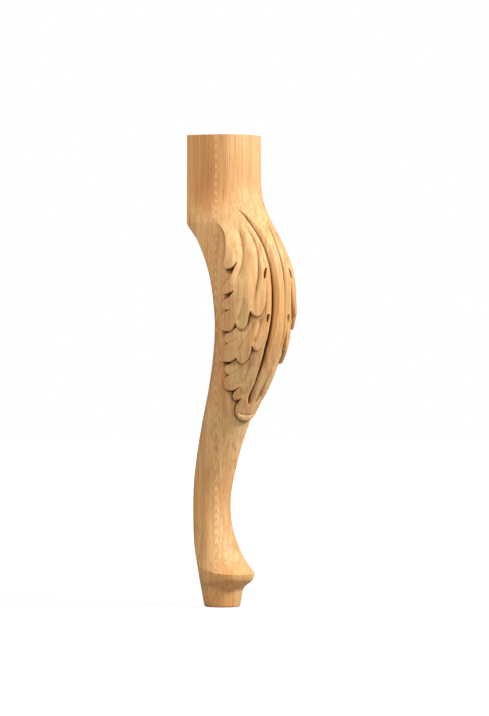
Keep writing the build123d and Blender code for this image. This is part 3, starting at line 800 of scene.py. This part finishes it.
def oak_finish(settings):
    """Sanded oak: arched growth rings, long pores, slow changes of tone, painted shade in the carved hollows and
    a painted highlight on raised edges.
    """
    oak = bpy.data.materials.new("oak")
    finish = Finish(oak)
    place = finish.node("ShaderNodeTexCoord", output="Object")
    x, y, z = [finish.node("ShaderNodeSeparateXYZ", {}, {"Vector": place}, output=i) for i in range(3)]
    side = x - settings.heart_x
    drift = finish.noise(place, DRIFT_CELLS, 3.0)
    jitter = finish.noise(place, JITTER_CELLS, 2.0)
    rings = ((side * side + settings.arch_round ** 2) ** 0.5 + settings.ring_rise * z + settings.ring_lean * y
             + settings.ring_drift * drift + JITTER_SHARE * settings.ring_drift * jitter)
    wave = finish.node("ShaderNodeMath", {"operation": "FRACT"}, {0: rings * (1.0 / settings.ring_width)})
    late = finish.ramp(wave, *LATE_RISE) - finish.ramp(wave, *LATE_FALL)
    arches = 1 - finish.ramp((side * side) ** 0.5, 0.5 * settings.arch_width, 1.5 * settings.arch_width)
    fibre = finish.noise(place, FIBRE_CELLS, 4.0)
    pore = finish.ramp(finish.noise(place, PORE_CELLS, 1.5), *PORE_EDGES)
    streak = finish.noise(place, STREAK_CELLS, 3.0)
    tone = finish.noise(place, TONE_CELLS, 2.0)
    warmth = finish.ramp(tone, *TONE_EDGES)
    base = finish.blend(warmth, linear(settings.light_wood), linear(settings.warm_wood))
    base = finish.blend(finish.ramp(streak, *STREAK_EDGES) * STREAK_STRENGTH, base, linear(settings.ring_colour))
    base = finish.blend(late * (RING_STRENGTH + ARCH_STRENGTH * arches), base, linear(settings.ring_colour))
    base = finish.blend(finish.ramp(fibre, *FIBRE_EDGES) * FIBRE_STRENGTH, base, linear(settings.ring_colour))
    pores = pore * (0.5 + 0.5 * (1 - late))
    base = finish.blend(pores * PORE_STRENGTH, base, linear(settings.pore_colour))
    # Painted shade: the carving's depth below its surroundings darkens its hollows and the feet of its walls,
    # standing in for their shade
    hollow = finish.node("ShaderNodeAttribute", {"attribute_name": "hollow"}, output="Fac")
    # Painted highlight on the raised edges, standing in for the light they catch
    painted_highlight = finish.ramp(0 - hollow, PAINTED_HIGHLIGHT_FROM, PAINTED_HIGHLIGHT_FULL) * PAINTED_HIGHLIGHT_STRENGTH
    base = finish.blend(painted_highlight, base, linear(settings.painted_highlight_colour))
    # Painted shade in the hollows
    depth = finish.ramp(hollow, 0.0, PAINTED_SHADE_FULL) * PAINTED_SHADE_STRENGTH
    base = finish.blend(depth, base, linear(settings.painted_shade_colour))
    relief = fibre * 0.5 - pores - late * 0.15
    bump = finish.node("ShaderNodeBump", {}, {"Strength": 0.35, "Distance": GRAIN_DEPTH, "Height": relief})
    shader = finish.node("ShaderNodeBsdfPrincipled", {}, {
        "Base Color": base, "Roughness": 0.5 + 0.1 * fibre, "Normal": bump, "Specular IOR Level": 0.35})
    finish.node("ShaderNodeOutputMaterial", {}, {"Surface": shader})
    return oak


class LegSettings(bpy.types.PropertyGroup):
    """The wood of the leg, and the painted shade and painted highlight on its carving."""

    light_wood: FloatVectorProperty(
        name="Light Wood", description="Lightest colour of the sanded oak", subtype="COLOR", size=3,
        min=0, max=1, default=(0.99, 0.84, 0.61))
    warm_wood: FloatVectorProperty(
        name="Warm Wood", description="Slightly darker tone that drifts through the oak", subtype="COLOR",
        size=3, min=0, max=1, default=(0.96, 0.75, 0.50))
    ring_colour: FloatVectorProperty(
        name="Ring Colour", description="Colour of the denser late wood of each ring", subtype="COLOR",
        size=3, min=0, max=1, default=(0.78, 0.50, 0.28))
    pore_colour: FloatVectorProperty(
        name="Pore Colour", description="Colour inside the long open pores", subtype="COLOR", size=3,
        min=0, max=1, default=(0.52, 0.33, 0.18))
    # Painted shade: this colour darkens the hollows of the carving and the feet of its walls, where shade falls
    painted_shade_colour: FloatVectorProperty(
        name="Hollow Colour", description="Colour of the cut wood deep in the carving", subtype="COLOR",
        size=3, min=0, max=1, default=(0.36, 0.19, 0.09))
    # Painted highlight: this colour lightens the raised edges of the carving, standing in for the light they
    # catch
    painted_highlight_colour: FloatVectorProperty(
        name="Crest Colour", description="Colour of the sanded edges that stand out of the carving",
        subtype="COLOR", size=3, min=0, max=1, default=(0.98, 0.77, 0.53))
    ring_width: FloatProperty(
        name="Ring Width", description="Thickness of a year's growth", unit="LENGTH", default=1.7 * MM)
    heart_x: FloatProperty(
        name="Heart X", description="Where the arches of the grain are centred across the leg", unit="LENGTH",
        default=-5.5 * MM)
    arch_round: FloatProperty(
        name="Arch Roundness", description="How blunt the tops of the arches of the grain are", unit="LENGTH",
        default=2.2 * MM)
    ring_rise: FloatProperty(
        name="Ring Rise", description="How much the rings lean along the leg, which sets the arches apart",
        default=0.2)
    arch_width: FloatProperty(
        name="Arch Width", description="How far to each side the arches of the grain show", unit="LENGTH",
        default=8 * MM)
    ring_lean: FloatProperty(
        name="Ring Lean", description="How much the rings follow the leg from front to back", default=0.10)
    ring_drift: FloatProperty(
        name="Ring Drift", description="How far the rings wander", unit="LENGTH", default=7 * MM)


class StudioSettings(bpy.types.PropertyGroup):
    """The camera and the lamps round the leg."""

    distance: FloatProperty(
        name="Camera Distance", description="From the leg to the camera", unit="LENGTH", default=3.0)
    camera_x: FloatProperty(
        name="Camera X", description="Sideways place of the camera", unit="LENGTH", default=20.4 * MM)
    camera_z: FloatProperty(
        name="Camera Height", description="Height of the camera above the floor", unit="LENGTH",
        default=227.4 * MM)
    field: FloatProperty(
        name="Field", description="Height of the picture at the leg", unit="LENGTH", default=655.9 * MM)
    key_power: FloatProperty(
        name="Key Power", description="Power of the main lamp", unit="POWER", default=79.0)
    fill_power: FloatProperty(
        name="Fill Power", description="Power of the lamp on the other side", unit="POWER", default=29.0)
    sky: FloatProperty(
        name="Sky", description="Strength of the even light from all round", default=0.2)


class CHAIRLEG_OT_carved_leg(bpy.types.Operator):
    """Build the carved leg in oak"""

    bl_idname = "chairleg.carved_leg"
    bl_label = "Carved Leg"

    def execute(self, context):
        leg = bpy.data.objects.new("carved_leg", leg_mesh())
        context.scene.collection.objects.link(leg)
        leg.data.materials.append(oak_finish(context.scene.chair_leg))
        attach(leg, "root")
        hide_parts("leg")
        return {"FINISHED"}


def area_lamp(name, place, size, power, colour):
    """A soft square lamp at a place, turned to the leg."""
    data = bpy.data.lights.new(name, "AREA")
    data.shape = "SQUARE"
    data.size = size
    data.energy = power
    data.color = colour
    lamp = bpy.data.objects.new(name, data)
    lamp.location = place
    lamp.rotation_euler = (Vector(AIM) - Vector(place)).to_track_quat("-Z", "Y").to_euler()
    bpy.context.scene.collection.objects.link(lamp)


def white_floor():
    """A wide white floor that keeps the leg's shadow and is plain white to the camera further out."""
    mesh = bpy.data.meshes.new("floor")
    corners = [(x * FLOOR_REACH, y * FLOOR_REACH, 0) for x, y in ((-1, -1), (1, -1), (1, 1), (-1, 1))]
    mesh.from_pydata(corners, [], [range(4)])
    floor = bpy.data.objects.new("floor", mesh)
    bpy.context.scene.collection.objects.link(floor)
    white = bpy.data.materials.new("white_floor")
    finish = Finish(white)
    place = finish.node("ShaderNodeTexCoord", output="Object")
    away = finish.node("ShaderNodeVectorMath", {"operation": "LENGTH"}, {0: place}, output="Value")
    matt = finish.node("ShaderNodeBsdfDiffuse", {}, {"Color": FLOOR_SHADE})
    glow = finish.node("ShaderNodeEmission", {}, {"Color": WHITE, "Strength": FLOOR_GLOW})
    seen = finish.node("ShaderNodeLightPath", output="Is Camera Ray")
    share = NEAR_GLOW + (1 - NEAR_GLOW) * finish.ramp(away, *GLOW_EDGES)
    shown = finish.node("ShaderNodeMixShader", {}, {0: seen * share, 1: matt, 2: glow})
    finish.node("ShaderNodeOutputMaterial", {}, {"Surface": shown})
    mesh.materials.append(white)


def pale_world(strength):
    """White where the camera looks past the leg, and a soft even light elsewhere."""
    world = bpy.data.worlds.new("pale")
    finish = Finish(world)
    light = finish.node("ShaderNodeBackground", {}, {"Color": SKY_COLOUR, "Strength": strength})
    white = finish.node("ShaderNodeBackground", {}, {"Color": WHITE, "Strength": 1.0})
    seen = finish.node("ShaderNodeLightPath", output="Is Camera Ray")
    shown = finish.node("ShaderNodeMixShader", {}, {0: seen, 1: light, 2: white})
    finish.node("ShaderNodeOutputWorld", {}, {"Surface": shown})
    bpy.context.scene.world = world


class CHAIRLEG_OT_studio(bpy.types.Operator):
    """Set up the floor, the lamps and the camera"""

    bl_idname = "chairleg.studio"
    bl_label = "Studio"

    def execute(self, context):
        settings = context.scene.chair_studio
        white_floor()
        pale_world(settings.sky)
        area_lamp("key_lamp", KEY_PLACE, KEY_SIZE, settings.key_power, KEY_COLOUR)
        area_lamp("fill_lamp", FILL_PLACE, FILL_SIZE, settings.fill_power, FILL_COLOUR)
        lens = bpy.data.cameras.new("camera")
        lens.sensor_fit = "VERTICAL"
        lens.sensor_height = SENSOR
        lens.lens = SENSOR * settings.distance / settings.field
        camera = bpy.data.objects.new("camera", lens)
        camera.location = (settings.camera_x, -settings.distance, settings.camera_z)
        camera.rotation_euler = (math.pi / 2, 0, 0)
        context.scene.collection.objects.link(camera)
        context.scene.camera = camera
        context.scene.view_settings.view_transform = "Standard"
        return {"FINISHED"}


class CHAIRLEG_PT_panel(bpy.types.Panel):
    """Lists the steps that build the leg"""

    bl_label = "Chair Leg"
    bl_idname = "CHAIRLEG_PT_panel"
    bl_space_type = "VIEW_3D"
    bl_region_type = "UI"
    bl_category = "Chair Leg"

    def draw(self, context):
        for step in STEPS:
            self.layout.operator(step.bl_idname)
        for settings in (context.scene.chair_leg, context.scene.chair_studio):
            for name in settings.__annotations__:
                self.layout.prop(settings, name)


STEPS = (CHAIRLEG_OT_studio, CHAIRLEG_OT_carved_leg)
CLASSES = (LegSettings, StudioSettings, *STEPS, CHAIRLEG_PT_panel)


def register():
    for made in CLASSES:
        bpy.utils.register_class(made)
    bpy.types.Scene.chair_leg = PointerProperty(type=LegSettings)
    bpy.types.Scene.chair_studio = PointerProperty(type=StudioSettings)


def unregister():
    del bpy.types.Scene.chair_studio
    del bpy.types.Scene.chair_leg
    for made in reversed(CLASSES):
        bpy.utils.unregister_class(made)


def main():
    """Builds the scene."""
    register()
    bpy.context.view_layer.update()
    bpy.ops.chairleg.studio()
    bpy.ops.chairleg.carved_leg()


if __name__ == "__main__":
    main()
